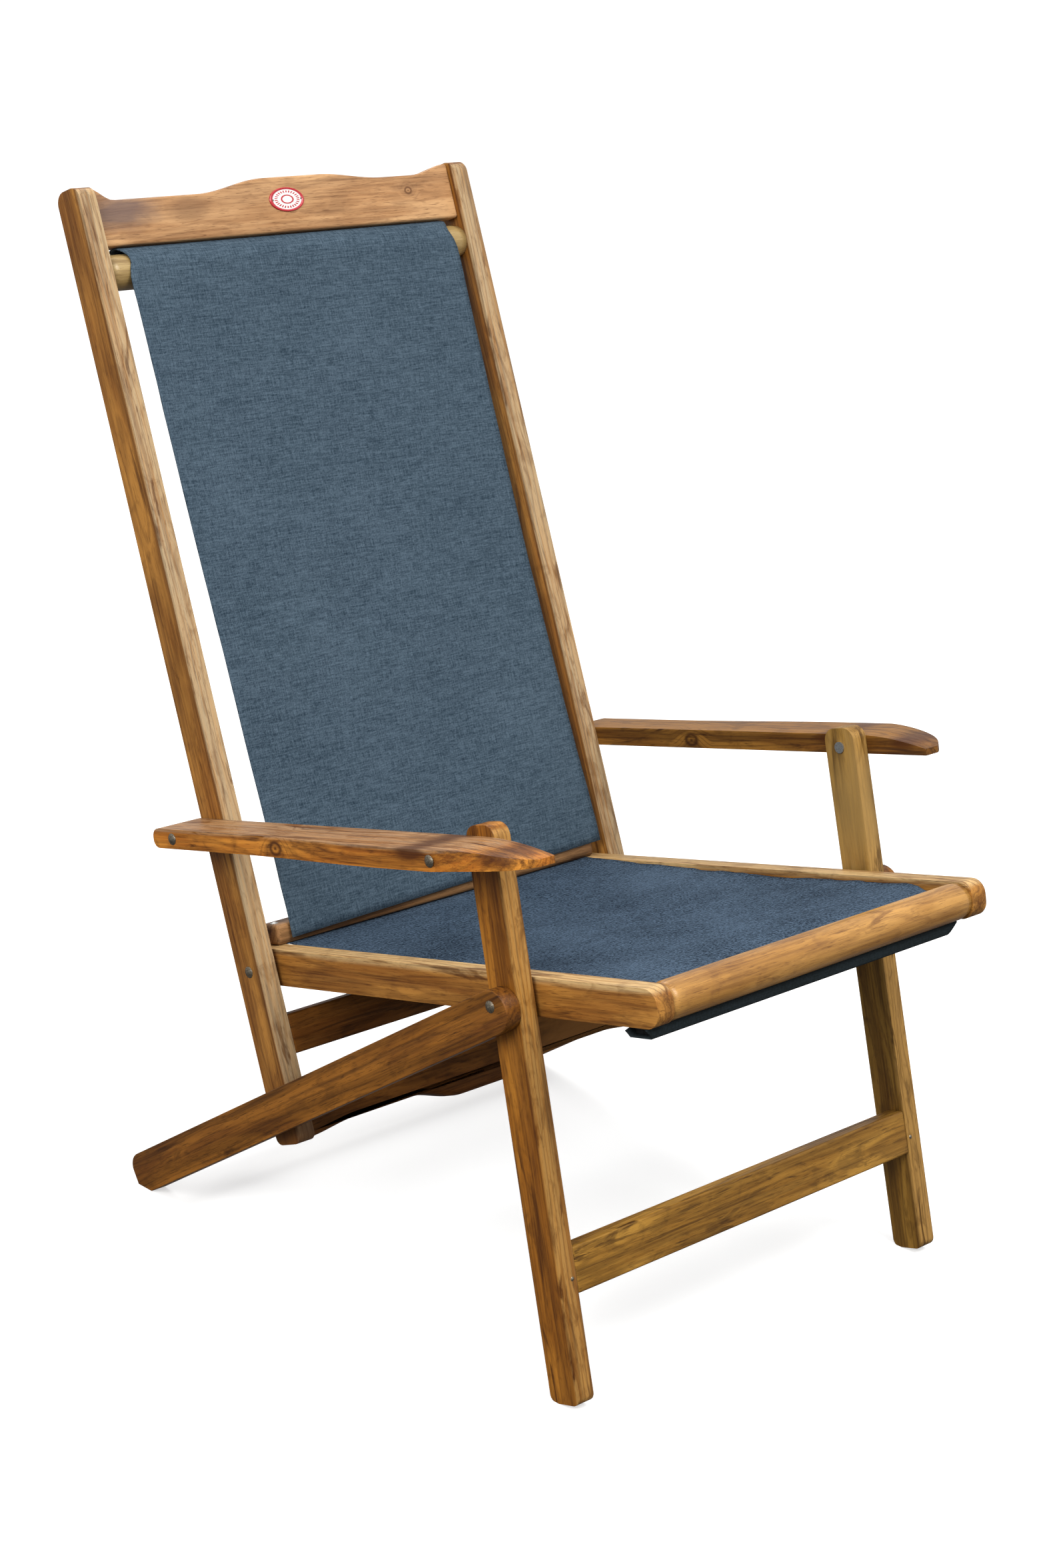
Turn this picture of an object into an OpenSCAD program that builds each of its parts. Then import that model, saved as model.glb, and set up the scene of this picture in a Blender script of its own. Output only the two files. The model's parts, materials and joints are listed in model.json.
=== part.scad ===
// Folding deck chair with armrests, made of flat hardwood boards and two fabric slings.
// X runs across the chair, Y from front to back, Z up; the origin is on the floor under the
// middle of the chair. Side views are drawn in the Y-Z plane, in millimetres.

/* [Overall] */
// Width over both armrests
arm_span = 620; // [616:1:626]
// Width of every back stile, front leg and seat rail, seen from the side
board_w = 35; // [33:1:36]

/* [Side layers] */
// Half width from the middle to the inner face of a seat rail
rail_in = 203.5; // [200:0.5:204]
// Thickness of a seat rail
rail_t = 20.5; // [18:0.5:20.5]
// Half width from the middle to the inner face of a back stile or a front leg
frame_in = 229.5; // [229.5:0.5:231]
// Thickness of a back stile or a front leg
frame_t = 19; // [18:0.5:19]
// Thickness of a rear strut
strut_t = 17.5; // [16:0.5:18]
// Gap between the boards that slide past each other
layer_gap = 0.5; // [0.4:0.1:0.8]

/* [Frame lengths] */
// Height of the pivot between back and seat
hinge_h = 264.2; // [264:0.1:264.5]
// Distance between the two pivots of a seat rail
seat_link = 344; // [343:0.5:345]
// Fall of the seat towards the back, in degrees
seat_fall = 13.8; // [13.5:0.1:14]
// Lean of the back from the vertical, in degrees
back_lean = 23.3; // [23:0.1:23.5]
// Distance from the seat pivot up the stile to the armrest pivot
arm_rise = 138; // [137:0.5:139]
// Lean of the front leg from the vertical, in degrees
leg_lean = 16.7; // [16.5:0.1:17]
// Distance from the seat pivot up the leg to the armrest bolt
leg_rise = 135.5; // [135:0.5:136]
// Slope of the rear strut, in degrees
strut_fall = 35.2; // [35:0.1:35.4]
// Length of a stile above the seat pivot
stile_up = 745; // [735:1:750]
// Length of a stile below the seat pivot
stile_down = 166; // [164:1:168]
// Length of a front leg below its pivot
leg_down = 359; // [358.6:0.1:359.4]
// Width of a rear strut, seen from the side
strut_w = 39.5; // [38:0.5:40]
// Length of a rear strut from its pivot to its foot
strut_len = 582; // [576:1:584]

/* [Back frame] */
// Height of the crest rail above the seat pivot, along the stile
crest_low = 687.5; // [685:0.5:690]
// Thickness of the crest rail
crest_t = 20; // [18:1:22]
// Setback of the crest rail and the bottom rail behind the stiles' front
crest_back = 8; // [4:1:12]
// Diameter of the dowel that carries the top of the back sling
dowel_d = 34; // [30:1:35]
// Height of the cross rail below the seat pivot, along the stile
cross_at = -65; // [-66:1:-64]
// Height of the cross rail board
cross_h = 38; // [34:1:38]

/* [Seat frame] */
// Diameter of the front seat bar
bar_d = 35; // [33:1:36]
// Distance from the seat's front pivot forward to the end of a rail
rail_front = 156; // [152:1:158]
// Distance from the seat's rear pivot back to the end of a rail
rail_rear = 24; // [20:1:24]

/* [Armrests] */
// Thickness of an armrest
arm_t = 18.5; // [17:0.5:20]
// Drop of an armrest's front tip
tip_drop = 12; // [8:1:14]

/* [Hidden] */
$fn = 48;

half_w = board_w / 2;
corner_r = 8;              // rounding of the square-cut board ends
overlap = 1;               // how far cutting shapes run past what they cut
running = 0.05;            // radial clearance of a pin in its hole
pin_d = 6;                 // shank of the pivot rivets and bolts
head_d = 11;               // rivet and bolt heads
head_h = 1.8;
head_gap = 0.2;            // under the rivet heads
washer_d = 13;
nail_d = 4;
strut_drop = 5;            // pivot of a strut above its centreline
hinge_y = 90.63;           // puts the whole chair's middle at Y = 0

frame_out = frame_in + frame_t;
strut_in = frame_out + layer_gap;
strut_out = strut_in + strut_t;
arm_in = frame_out + layer_gap;
arm_out = arm_span / 2;
rail_out = rail_in + rail_t;

// Pivots in side view: p1 stile-rail, p2 rail-leg-strut, p3 arm-leg, p4 arm-stile.
p1 = [hinge_y, hinge_h];
p2 = p1 + seat_link * [-cos(seat_fall), sin(seat_fall)];
p3 = p2 + leg_rise * [sin(leg_lean), cos(leg_lean)];
p4 = p1 + arm_rise * [sin(back_lean), cos(back_lean)];
arm_link = norm(p3 - p4);
arm_fall = atan2(p3[1] - p4[1], p4[0] - p3[0]);

// ---- helpers ----

// A shape drawn in side view, standing from x_from to x_from + thick across the chair.
module side(x_from, thick)
  translate([x_from, 0, 0]) rotate([90, 0, 90]) linear_extrude(thick) children();

// A frame at point p whose first axis runs up a board that leans back by lean degrees.
module up_board(p, lean) translate(p) rotate(90 - lean) children();

// A frame at point p whose first axis runs back along a board that falls by fall degrees.
module along_board(p, fall) translate(p) rotate(-fall) children();

// A board outline from a to b along the first axis, its ends rounded by r_a and r_b.
module board(a, b, w, r_a, r_b) {
  translate([a + r_a, -w / 2]) square([b - a - r_a - r_b, w]);
  for (s = [-1, 1]) {
    translate([a + r_a, s * (w / 2 - r_a)]) circle(r_a);
    translate([b - r_b, s * (w / 2 - r_b)]) circle(r_b);
  }
  if (w > 2 * r_a) translate([a, r_a - w / 2]) square([r_a, w - 2 * r_a]);
  if (w > 2 * r_b) translate([b - r_b, r_b - w / 2]) square([r_b, w - 2 * r_b]);
}

// A round hole in side view.
module hole(d) circle(d / 2 + running);

// The left side is the mirror image of the right side.
module left() mirror([1, 0, 0]) children();
module both() {
  children();
  left() children();
}

// A rivet across the chair through side-view point p, with a domed head on its outer end.
module rivet(p, x_from, x_to) {
  side_pin(p, pin_d, x_from, x_to);
  translate([x_to, p[0], p[1]]) rotate([0, 90, 0]) dome(head_d, head_h);
}
module side_pin(p, d, x_from, x_to)
  translate([x_from, p[0], p[1]]) rotate([0, 90, 0]) cylinder(d = d, h = x_to - x_from);

// A flat-bottomed dome of diameter d and height h.
module dome(d, h) {
  ball_r = (d * d / 4 + h * h) / (2 * h);
  intersection() {
    translate([0, 0, h - ball_r]) sphere(ball_r);
    cylinder(d = d + 2 * overlap, h = h + overlap);
  }
}

// A washer around side-view point p.
module washer(p, x_from, x_to, d)
  side(x_from, x_to - x_from) translate(p) difference() {
    circle(d / 2);
    hole(pin_d);
  }

// Everything under the floor plane, to cut the feet level.
floor_depth = 50;
module floor_cut()
  translate([-arm_span, -arm_span, -floor_depth]) cube([2 * arm_span, 2 * arm_span, floor_depth]);

// A solid in the back frame's own axes: X across, Y up the stile from p1, Z forward.
module on_back() translate([0, p1[0], p1[1]]) rotate([90 - back_lean, 0, 0]) children();

// A solid in the seat's own axes: X across, Y back along the rail from p2, Z up from its middle.
module on_seat() translate([0, p2[0], p2[1]]) rotate([-seat_fall, 0, 0]) children();

// A solid in the leg frame's own axes: X across, Y up the leg from p2, Z forward.
module on_leg() translate([0, p2[0], p2[1]]) rotate([90 - leg_lean, 0, 0]) children();

// A solid in the strut's own axes: X across, Y back along the strut from p2, Z square to it.
module on_strut() translate([0, p2[0], p2[1]]) rotate([-strut_fall, 0, 0]) children();

// ---- back frame ----

top_r = 12;                // rounding of the stile tops
module back_stile()
  color("peru") side(frame_in, frame_t) difference() {
    up_board(p1, back_lean) board(-stile_down, stile_up, board_w, corner_r, top_r);
    translate(p1) hole(pin_d);
    translate(p4) hole(pin_d);
  }

// Height of the crest's top edge at x: a low hump a little off the middle, and raised ends.
crest_ends = 744;
crest_dip = [731.5, 735];  // lowest points left and right of the hump
crest_hump = 742.5;
hump_x = 18;
hump_half = 35;
hump_foot = 121;
horn_at = [203, 178];      // where the raised ends begin, left and right
function wave(x, near, far) =
  x <= near ? 0 : x >= far ? 1 : (1 - cos(180 * (x - near) / (far - near))) / 2;
function crest_top(x) = let (s = x < hump_x ? 0 : 1)
  crest_hump + (crest_dip[s] - crest_hump) * wave(abs(x - hump_x), hump_half, hump_foot)
  + (crest_ends - crest_dip[s]) * wave(abs(x), horn_at[s], frame_in);
wave_steps = 40;
wave_xs = [for (i = [-wave_steps : wave_steps]) i * frame_in / wave_steps];

module crest_rail()
  color("peru") on_back() translate([0, 0, half_w - crest_back - crest_t])
    linear_extrude(crest_t) polygon(concat(
      [for (x = wave_xs) [x, crest_top(x)]], [[frame_in, crest_low], [-frame_in, crest_low]]));

dowel_at = 664.5;          // dowel's centre above the seat pivot, along the stile
dowel_z = -1.5;            // and behind the stile's centreline
module top_dowel()
  color("burlywood") on_back() translate([-frame_in, dowel_at, dowel_z])
    rotate([0, 90, 0]) cylinder(d = dowel_d, h = 2 * frame_in);

module back_cross_rail()
  color("saddlebrown") on_back()
    translate([-frame_in, cross_at - cross_h / 2, half_w - frame_t])
      cube([2 * frame_in, cross_h, frame_t]);

// The bottom rail's lower edge mirrors the crest's wave: a drop in the middle.
bottom_top = -122;
bottom_ends = -165;
bottom_dip = -160;
bottom_drop = -173.5;
drop_near = 30;
drop_far = 95;
rise_at = 169;             // where the edge begins to fall again towards the ends
function bottom_edge(x) =
  bottom_drop + (bottom_dip - bottom_drop) * wave(x, drop_near, drop_far)
  + (bottom_ends - bottom_dip) * wave(x, rise_at, frame_in);
module back_bottom_rail()
  color("saddlebrown") on_back() translate([0, 0, half_w - crest_back - crest_t])
    linear_extrude(crest_t) polygon(concat(
      [for (x = wave_xs) [x, bottom_edge(abs(x))]], [[frame_in, bottom_top], [-frame_in, bottom_top]]));

badge_w = 44;
badge_h = 24;
badge_t = 1.2;
badge_at = 719;            // above the seat pivot, along the stile
badge_x = 5;               // it sits a little off the middle
crest_face = half_w - crest_back;
module badge_plate()
  color("white") on_back() translate([badge_x, badge_at, crest_face]) linear_extrude(badge_t) {
    square([badge_w - badge_h, badge_h], center = true);
    for (s = [-1, 1]) translate([s * (badge_w - badge_h) / 2, 0]) circle(badge_h / 2);
  }

badge_pin_d = 1.8;
badge_pin_h = 0.6;
badge_pin_in = 4;          // from the end of the plate
module badge_pins()
  color("silver") on_back() for (s = [-1, 1])
    translate([badge_x + s * (badge_w / 2 - badge_pin_in), badge_at, crest_face + badge_t])
      dome(badge_pin_d, badge_pin_h);

// The back sling hangs in front of the dowel and ends above the seat's rear bar.
sling_t = 3;
back_sling_half = 203;
sling_end = 58;            // its lower end, above the seat pivot
sling_front = dowel_z + dowel_d / 2 + 0.3;
module back_sling()
  color("slategray") on_back() translate([0, 0, sling_front]) linear_extrude(sling_t)
    translate([-back_sling_half, sling_end]) square([2 * back_sling_half, dowel_at - sling_end]);

// ---- seat ----

nose_r = 14;               // rounding of a rail's front end
module seat_rail()
  color("peru") side(rail_in, rail_t) difference() {
    along_board(p2, seat_fall)
      board(-rail_front, seat_link + rail_rear, board_w, nose_r, corner_r);
    translate(p1) hole(pin_d);
    translate(p2) hole(pin_d);
  }

bar_at = -139;             // centre of the front bar along the rail
module seat_front_bar()
  color("peru") on_seat() translate([-rail_in, bar_at, 0]) rotate([0, 90, 0])
    cylinder(d = bar_d, h = 2 * rail_in);

batten_h = 9;
batten_d = 26;
batten_w = 390;
batten_x = -12;            // it sits a little to the left
batten_y = bar_at + 1;     // its front edge, just behind the middle of the bar
batten_z = -bar_d / 2 - batten_h - 1;
module seat_batten()
  color("dimgray") on_seat() translate([batten_x - batten_w / 2, batten_y, batten_z])
    cube([batten_w, batten_d, batten_h]);

screw_xs = [-150, -50, 50, 150];
screw_head_d = 8;
screw_head_h = 1.4;
module batten_screws()
  color("silver") on_seat() for (x = screw_xs)
    translate([batten_x + x, batten_y + batten_d / 2, batten_z])
      rotate([180, 0, 0]) dome(screw_head_d, screw_head_h);

rear_bar_at = 337;
rear_bar_d = 25;
rear_bar_h = 20;
rear_bar_half = 214;
module seat_rear_bar()
  color("peru") on_seat() translate([-rear_bar_half, rear_bar_at, half_w])
    cube([2 * rear_bar_half, rear_bar_d, rear_bar_h]);

bar_screw_x = 207;
module seat_bar_screws()
  color("silver") on_seat() for (s = [-1, 1])
    translate([s * bar_screw_x, rear_bar_at + rear_bar_d / 2, half_w + rear_bar_h])
      dome(screw_head_d, screw_head_h);

seat_sling_gap = 1.5;
seat_sling_z = 5;
seat_sling_front = bar_at + bar_d / 2 + 1;
module seat_sling()
  color("slategray") on_seat()
    translate([-rail_in + seat_sling_gap, seat_sling_front, seat_sling_z])
      cube([2 * (rail_in - seat_sling_gap), rear_bar_at - seat_sling_front, sling_t]);

// Rivets on the seat: the rear pair carries the stiles, the front pair the legs and struts.
module stile_pivot_rivets()
  color("silver") both() rivet(p1, rail_in, frame_out + head_gap);
module leg_pivot_rivets()
  color("silver") both() rivet(p2, rail_in, strut_out + head_gap);

spacer_gap = 0.3;
module stile_pivot_washers()
  color("gray") both() washer(p1, rail_out, frame_in - spacer_gap, washer_d);
module leg_pivot_washers()
  color("gray") both() washer(p2, rail_out, frame_in - spacer_gap, washer_d);

// ---- front legs ----

leg_top = leg_rise + 18.5; // the leg's top stands above the armrest bolt
leg_top_r = 12;
module front_leg()
  color("peru") difference() {
    side(frame_in, frame_t) difference() {
      up_board(p2, leg_lean) board(-leg_down, leg_top, board_w, corner_r, leg_top_r);
      translate(p2) hole(pin_d);
    }
    floor_cut();
  }

stretcher_top = -220.5;
stretcher_h = 42.5;
module front_stretcher()
  color("peru") on_leg() translate([-frame_in, stretcher_top - stretcher_h, half_w - frame_t])
    cube([2 * frame_in, stretcher_h, frame_t]);

nail_at = -248;            // along the leg from its pivot
nail_x = frame_in + 5;
nail_h = 0.8;
module stretcher_nails()
  color("gray") on_leg() for (s = [-1, 1]) translate([s * nail_x, nail_at, half_w]) dome(nail_d, nail_h);

leg_top_washer_t = 1.5;
module leg_top_washers()
  color("gray") both() translate([frame_in, p3[0], p3[1]]) rotate([0, -90, 0])
    cylinder(d = head_d, h = leg_top_washer_t);

// ---- armrests ----

arm_rear = 28;             // past the rear rivet
arm_front = 88;            // past the front bolt
arm_end_r = 8;             // rounding of the rear end, seen from the side
arm_narrow = 10;           // how much slimmer the rear end is
narrow_from = 60;          // where it begins to slim, behind the front bolt
narrow_to = 0.75 * arm_link;
tip_taper = 25;            // straight part of the taper towards the tip
tip_round = 18;            // and what the rounding takes off besides
function arm_edge(a) =     // outer edge at distance a in front of the front bolt
  a > 0 ? arm_out - tip_taper * a / arm_front - tip_round * pow(a / arm_front, 8)
        : arm_out - arm_narrow * wave(-a, narrow_from, narrow_to);
function arm_sink(a) = tip_drop * pow(a / arm_front, 2);
front_steps = 16;
front_as = [for (i = [0 : front_steps]) i * arm_front / front_steps];
side_steps = 8;
side_as = [for (i = [0 : side_steps]) -narrow_to * (side_steps - i) / side_steps];

// Plan outline: first axis forward from the front bolt, second axis across the chair.
module arm_plan() {
  rear = -arm_link - arm_rear;
  polygon(concat(
    [[rear, arm_in], [rear, arm_edge(rear)]],
    [for (a = side_as) [a, arm_edge(a)]],
    [for (i = [1 : front_steps]) [front_as[i], arm_edge(front_as[i])]],
    [[arm_front, arm_in]]));
}

// Side outline: first axis forward from the front bolt, second axis up.
arc_steps = 6;
function arc(c, r, from, to) =
  [for (i = [0 : arc_steps]) let (t = from + (to - from) * i / arc_steps) c + r * [cos(t), sin(t)]];
module arm_profile() {
  rear = -arm_link - arm_rear;
  polygon(concat(
    arc([rear + arm_end_r, arm_end_r - arm_t / 2], arm_end_r, 270, 180),
    arc([rear + arm_end_r, arm_t / 2 - arm_end_r], arm_end_r, 180, 90),
    [for (a = front_as) [a, arm_t / 2 - arm_sink(a)]],
    [[arm_front, -arm_t / 2]]));
}

module armrest()
  color("chocolate") difference() {
    translate([0, p3[0], p3[1]]) rotate([-arm_fall, 0, 0]) intersection() {
      translate([0, 0, -arm_span / 2]) linear_extrude(arm_span) rotate(90) mirror([1, 0])
        mirror([0, 1]) arm_plan();
      rotate([90, 0, 90]) linear_extrude(arm_span) mirror([1, 0]) arm_profile();
    }
    side_pin(p4, pin_d + 2 * running, arm_in - overlap, arm_out + overlap);
    side_pin(p3, pin_d + 2 * running, arm_in - overlap, arm_out + overlap);
  }

arm_rear_edge = arm_edge(-arm_link);
module arm_rear_rivet()
  color("silver") rivet(p4, frame_in, arm_rear_edge + head_gap);
module arm_front_bolt()
  color("silver") rivet(p3, frame_out + spacer_gap, arm_out + head_gap);

// ---- rear struts ----

strut_head = 17.75;        // from the pivot to the rounded head's end
strut_foot_r = 14;         // rounding of its foot
module strut()
  color("sienna") difference() {
    side(strut_in, strut_t) difference() {
      along_board(p2, strut_fall) translate([0, -strut_drop])
        board(-strut_head, strut_len, strut_w, strut_w / 2, strut_foot_r);
      translate(p2) hole(pin_d);
    }
    floor_cut();
  }

rear_st_at = 530;          // centre of the rear stretcher along the strut
rear_st_d = 24;
rear_st_h = 22;
rear_st_z = 3 - strut_drop;
module rear_stretcher()
  color("sienna") on_strut()
    translate([-strut_in, rear_st_at - rear_st_d / 2, rear_st_z - rear_st_h / 2])
      cube([2 * strut_in, rear_st_d, rear_st_h]);

// Steel pins in the struts' inner faces that the stiles lean against.
stop_d = 9;
stop_at = 325.2;           // along the strut from its pivot
stop_in = frame_in + 2;
module strut_stop_pins()
  color("silver") both() on_strut() translate([stop_in, stop_at, -strut_drop])
    rotate([0, 90, 0]) cylinder(d = stop_d, h = strut_in - stop_in);

left() back_stile();  // back_stile_left
back_stile();  // back_stile_right
crest_rail();
top_dowel();
back_cross_rail();
back_bottom_rail();
badge_plate();
badge_pins();
back_sling();
left() seat_rail();  // seat_rail_left
seat_rail();  // seat_rail_right
seat_front_bar();
seat_batten();
batten_screws();
seat_rear_bar();
seat_bar_screws();
seat_sling();
stile_pivot_rivets();
leg_pivot_rivets();
stile_pivot_washers();
leg_pivot_washers();
left() front_leg();  // front_leg_left
front_leg();  // front_leg_right
front_stretcher();
stretcher_nails();
leg_top_washers();
left() armrest();  // armrest_left
armrest();  // armrest_right
left() arm_rear_rivet();  // arm_rear_rivet_left
arm_rear_rivet();  // arm_rear_rivet_right
left() arm_front_bolt();  // arm_front_bolt_left
arm_front_bolt();  // arm_front_bolt_right
left() strut();  // strut_left
strut();  // strut_right
rear_stretcher();
strut_stop_pins();
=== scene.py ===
"""Looks for the folding deck chair: rounded wooden boards, woven slings, metal and a small studio."""
import json
import math

import bmesh
import bpy
from mathutils import Matrix, Vector, noise

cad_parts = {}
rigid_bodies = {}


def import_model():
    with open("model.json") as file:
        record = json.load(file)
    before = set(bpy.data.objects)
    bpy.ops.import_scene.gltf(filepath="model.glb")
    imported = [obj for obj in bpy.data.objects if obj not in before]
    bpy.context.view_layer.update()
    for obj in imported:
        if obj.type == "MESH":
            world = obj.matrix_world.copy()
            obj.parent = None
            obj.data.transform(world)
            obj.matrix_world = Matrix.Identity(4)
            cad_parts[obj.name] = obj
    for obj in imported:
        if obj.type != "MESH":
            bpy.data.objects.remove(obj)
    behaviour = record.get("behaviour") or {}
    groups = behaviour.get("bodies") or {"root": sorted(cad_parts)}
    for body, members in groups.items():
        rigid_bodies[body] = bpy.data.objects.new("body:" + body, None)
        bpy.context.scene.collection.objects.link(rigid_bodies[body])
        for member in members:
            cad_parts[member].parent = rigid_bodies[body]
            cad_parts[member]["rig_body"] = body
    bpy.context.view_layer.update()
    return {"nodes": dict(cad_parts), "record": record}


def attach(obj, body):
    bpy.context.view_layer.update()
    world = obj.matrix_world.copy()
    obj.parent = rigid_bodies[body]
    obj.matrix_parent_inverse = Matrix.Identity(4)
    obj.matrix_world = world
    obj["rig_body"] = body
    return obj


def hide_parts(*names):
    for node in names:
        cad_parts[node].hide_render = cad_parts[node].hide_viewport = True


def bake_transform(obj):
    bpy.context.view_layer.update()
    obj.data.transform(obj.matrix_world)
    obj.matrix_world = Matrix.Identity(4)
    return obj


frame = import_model()
record = frame["record"]
JOINT = {j["name"]: Vector(j["pos_m"]) for j in record["behaviour"]["joints"]}
P1 = JOINT["seat_fold"]        # back and seat
P2 = JOINT["legs_fold"]        # seat, legs and struts
P4 = JOINT["arm_left_fold"]    # back and armrests


def side_axes(degrees):
    """Unit vectors along a board at this slope in side view, and square to it."""
    a = math.radians(degrees)
    return Vector((0, math.cos(a), math.sin(a))), Vector((0, -math.sin(a), math.cos(a)))


BACK_UP, BACK_FRONT = side_axes(90 - 23.3)
LEG_UP, LEG_FRONT = side_axes(90 - 16.7)
SEAT_BACK, SEAT_UP = side_axes(-13.8)
STRUT_BACK, STRUT_UP = side_axes(-35.2)
ARM_BACK, ARM_UP = side_axes(-13.6)
ACROSS = Vector((1, 0, 0))


def at_p1(x):
    return Vector((x, P1.y, P1.z))


def at_p2(x):
    return Vector((x, P2.y, P2.z))


def on_back(x, up, front):
    return at_p1(x) + BACK_UP * up + BACK_FRONT * front


def on_seat(x, back, up):
    return at_p2(x) + SEAT_BACK * back + SEAT_UP * up


# ---------------------------------------------------------------- material helpers

class Nodes:
    """Short names for building one node tree."""

    def __init__(self, name):
        self.material = bpy.data.materials.new(name)
        self.material.use_nodes = True
        self.tree = self.material.node_tree
        self.shader = self.tree.nodes["Principled BSDF"]

    def link(self, value, socket):
        if isinstance(value, bpy.types.NodeSocket):
            self.tree.links.new(value, socket)
        elif value is not None:
            socket.default_value = value

    def math(self, kind, a, b=None, clamp=False):
        node = self.tree.nodes.new("ShaderNodeMath")
        node.operation = kind
        node.use_clamp = clamp
        for i, value in enumerate((a, b)):
            self.link(value, node.inputs[i])
        return node.outputs[0]

    def dot(self, vector, constant):
        node = self.tree.nodes.new("ShaderNodeVectorMath")
        node.operation = "DOT_PRODUCT"
        self.link(vector, node.inputs[0])
        node.inputs[1].default_value = constant
        return node.outputs["Value"]

    def combine(self, x, y, z):
        node = self.tree.nodes.new("ShaderNodeCombineXYZ")
        for i, value in enumerate((x, y, z)):
            self.link(value, node.inputs[i])
        return node.outputs[0]

    def noise(self, vector, scale, detail=2.0, rough=0.5, distortion=0.0):
        node = self.tree.nodes.new("ShaderNodeTexNoise")
        self.link(vector, node.inputs["Vector"])
        node.inputs["Scale"].default_value = scale
        node.inputs["Detail"].default_value = detail
        node.inputs["Roughness"].default_value = rough
        node.inputs["Distortion"].default_value = distortion
        return node.outputs["Fac"]

    def ramp(self, value, low, high, out_low=0.0, out_high=1.0):
        node = self.tree.nodes.new("ShaderNodeMapRange")
        node.interpolation_type = "SMOOTHSTEP"
        for i, v in enumerate((value, low, high, out_low, out_high)):
            self.link(v, node.inputs[i])
        return node.outputs[0]

    def mix(self, factor, a, b):
        node = self.tree.nodes.new("ShaderNodeMix")
        node.data_type = "RGBA"
        self.link(factor, node.inputs["Factor"])
        for value, key in ((a, 6), (b, 7)):
            self.link((*value, 1) if isinstance(value, tuple) else value, node.inputs[key])
        return node.outputs[2]

    def bump(self, height, strength, distance):
        node = self.tree.nodes.new("ShaderNodeBump")
        node.inputs["Strength"].default_value = strength
        node.inputs["Distance"].default_value = distance
        self.link(height, node.inputs["Height"])
        self.link(node.outputs[0], self.shader.inputs["Normal"])

    def place(self):
        return self.tree.nodes.new("ShaderNodeTexCoord").outputs["Object"]

    def uv(self):
        return self.tree.nodes.new("ShaderNodeTexCoord").outputs["UV"]


# Wood tones, linear: (dark figure, brown, golden)
TEAK = ((0.065, 0.019, 0.004), (0.235, 0.086, 0.014), (0.42, 0.190, 0.038))
LEG_TONE = ((0.060, 0.016, 0.002), (0.225, 0.076, 0.007), (0.38, 0.150, 0.018))
FAR_LEG_TONE = ((0.055, 0.021, 0.003), (0.190, 0.088, 0.012), (0.32, 0.168, 0.030))
ARM_TONE = ((0.050, 0.012, 0.002), (0.35, 0.110, 0.012), (0.60, 0.240, 0.034))
FAR_ARM_TONE = ((0.034, 0.010, 0.002), (0.145, 0.054, 0.008), (0.25, 0.110, 0.018))
STRUT_TONE = ((0.026, 0.008, 0.001), (0.125, 0.041, 0.006), (0.26, 0.098, 0.013))
# Darker wood as painted shade, for parts that sit in the shade under the seat.
PAINTED_SHADE_TONE = ((0.022, 0.006, 0.001), (0.095, 0.030, 0.004), (0.17, 0.062, 0.010))
DULL_TONE = ((0.028, 0.011, 0.004), (0.170, 0.078, 0.028), (0.29, 0.150, 0.060))
OLIVE_TONE = ((0.052, 0.020, 0.003), (0.205, 0.092, 0.012), (0.38, 0.195, 0.032))
BAR_TONE = ((0.095, 0.030, 0.005), (0.30, 0.135, 0.024), (0.46, 0.235, 0.058))
CREST_TONE = ((0.100, 0.038, 0.014), (0.34, 0.170, 0.070), (0.52, 0.300, 0.140))
PALE_TONE = ((0.19, 0.115, 0.038), (0.32, 0.215, 0.080), (0.41, 0.290, 0.125))
GREY_SAP = (0.42, 0.320, 0.190)
CREAM_SAP = (0.60, 0.420, 0.200)
GOLD_SAP = (0.39, 0.215, 0.060)
RING_WIDTH = 0.0056
BAND_WIDTH = 0.021
SAP_FADE = 420             # the dark line where sapwood begins is 1 / SAP_FADE wide to each side


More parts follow.
